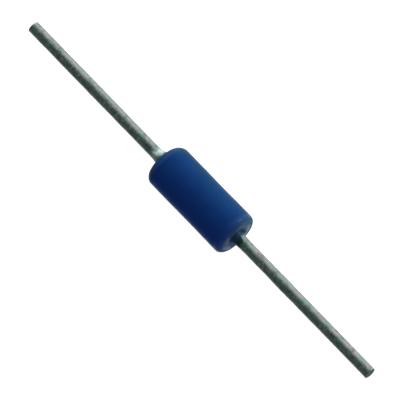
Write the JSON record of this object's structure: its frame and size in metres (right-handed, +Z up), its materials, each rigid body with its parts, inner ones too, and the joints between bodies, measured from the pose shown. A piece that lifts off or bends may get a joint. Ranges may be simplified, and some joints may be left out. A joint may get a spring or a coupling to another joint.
{
  "type": "diac",
  "caption": "Axial-leaded trigger component: a blue-lacquered glass cylinder sealed round clamped studs, with a straight tinned wire lead from each end.",
  "frame": {"origin": "middle of the glass body, on the leads' common axis", "axes": "+X along the leads, towards the right lead; the part is round about X and lies along it, and +Z is up"},
  "size_m": [0.0208, 0.002, 0.002],
  "materials": {
    "lacquer": "satin",
    "sleeve_glass": "gloss",
    "tinned_wire": "satin",
    "stud_metal": "satin",
    "silver": "satin",
    "passivation_glass": "gloss",
    "silicon": "polished"
  },
  "bodies": {
    "root": {"lacquer_coat": "lacquer", "glass_sleeve": "sleeve_glass", "left_lead": "tinned_wire", "right_lead": "tinned_wire", "left_stud": "stud_metal", "right_stud": "stud_metal", "left_bump": "silver", "right_bump": "silver", "left_moat_glass": "passivation_glass", "right_moat_glass": "passivation_glass", "silicon_chip": "silicon"}
  },
  "joints": []
}
